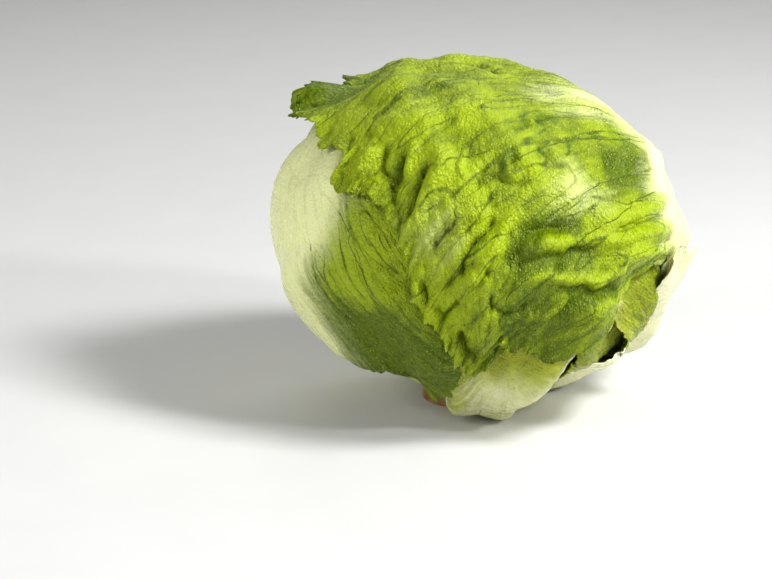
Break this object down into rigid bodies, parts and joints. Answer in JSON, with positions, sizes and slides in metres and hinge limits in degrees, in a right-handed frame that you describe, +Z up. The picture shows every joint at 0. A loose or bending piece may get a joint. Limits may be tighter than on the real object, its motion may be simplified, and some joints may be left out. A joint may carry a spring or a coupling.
{
  "type": "head of lettuce",
  "caption": "A crisphead lettuce standing on its cut stem, with loose green wrapper leaves round a dense pale heart.",
  "frame": {"origin": "centre of the stem's flat cut face, on the surface that the head stands on", "axes": "+Z up along the stem; +X towards the head's open right side; -Y towards the picture's camera"},
  "size_m": [0.1762, 0.1623, 0.1404],
  "materials": {
    "green_leaf": "waxy green leaf with pale veins, puckered between them",
    "inner_leaf": "thin yellow-green inner leaf",
    "pale_rib": "smooth juicy rib, pale green to cream",
    "cut_stem": "cut face browned by air, cream towards the middle"
  },
  "bodies": {
    "root": {"stem": "cut_stem", "heart": "inner_leaf", "leaf_inner_right": "inner_leaf", "leaf_torn": "inner_leaf", "leaf_front_left": "pale_rib", "leaf_front": "pale_rib", "leaf_back": "green_leaf", "leaf_left": "green_leaf", "leaf_cap": "green_leaf", "leaf_right": "pale_rib"}
  },
  "joints": []
}
